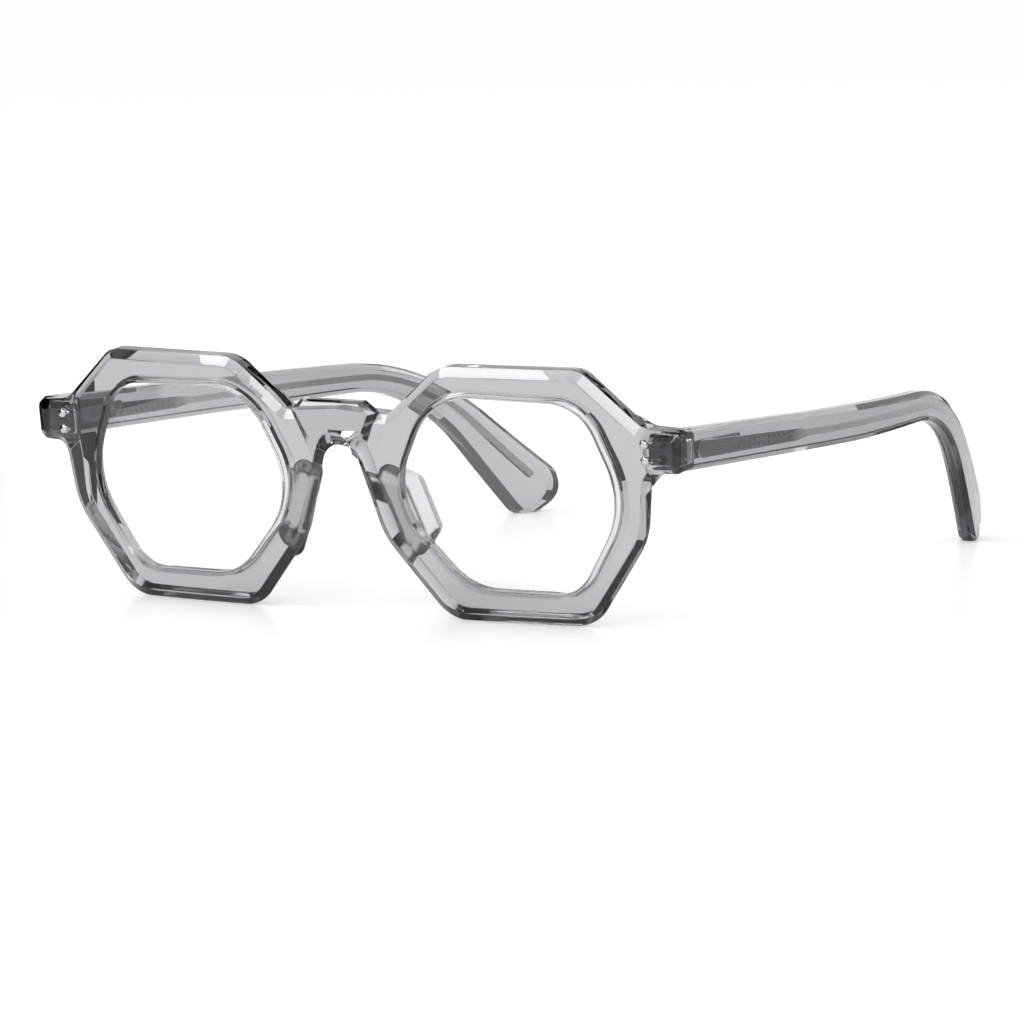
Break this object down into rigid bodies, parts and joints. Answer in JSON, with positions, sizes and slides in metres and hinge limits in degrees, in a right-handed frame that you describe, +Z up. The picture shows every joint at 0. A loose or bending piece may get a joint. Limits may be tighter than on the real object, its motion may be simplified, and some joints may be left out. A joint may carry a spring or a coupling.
{
  "type": "hexagonal eyeglasses",
  "caption": "Eyeglasses with thick clear hexagonal acetate rims, raised bridge, clear lenses, riveted hinges and folding temples with a metal core.",
  "frame": {"origin": "middle of the footprint on the floor, under the open glasses", "axes": "+X towards the wearer's left, +Y back along the temples, +Z up"},
  "size_m": [0.1426, 0.1526, 0.0474],
  "materials": {
    "front_acetate": "polished clear",
    "pad_acetate": "polished clear",
    "temple_acetate": "polished clear",
    "lens_clear": "clear",
    "hinge_metal": "satin",
    "rivet_metal": "polished",
    "screw_metal": "turned",
    "core_metal": "drawn"
  },
  "bodies": {
    "front": {"frame_front": "front_acetate", "nose_pad_left": "pad_acetate", "nose_pad_right": "pad_acetate", "lens_left": "lens_clear", "lens_right": "lens_clear", "front_hinge_left": "hinge_metal", "front_hinge_right": "hinge_metal", "front_rivets_left": "rivet_metal", "front_rivets_right": "rivet_metal", "hinge_screw_left": "screw_metal", "hinge_screw_right": "screw_metal"},
    "left_temple": {"temple_left": "temple_acetate", "temple_hinge_left": "hinge_metal", "core_wire_left": "core_metal"},
    "right_temple": {"temple_right": "temple_acetate", "temple_hinge_right": "hinge_metal", "core_wire_right": "core_metal"}
  },
  "joints": [
    {"name": "left_temple_fold", "type": "hinge", "parent": "front", "child": "left_temple", "pos_m": [0.06568, -0.06433, 0.0327], "axis": [0, 0, 1], "range_deg": [0, 83]},
    {"name": "right_temple_fold", "type": "hinge", "parent": "front", "child": "right_temple", "pos_m": [-0.06568, -0.06433, 0.0327], "axis": [0, 0, -1], "range_deg": [0, 70]}
  ]
}
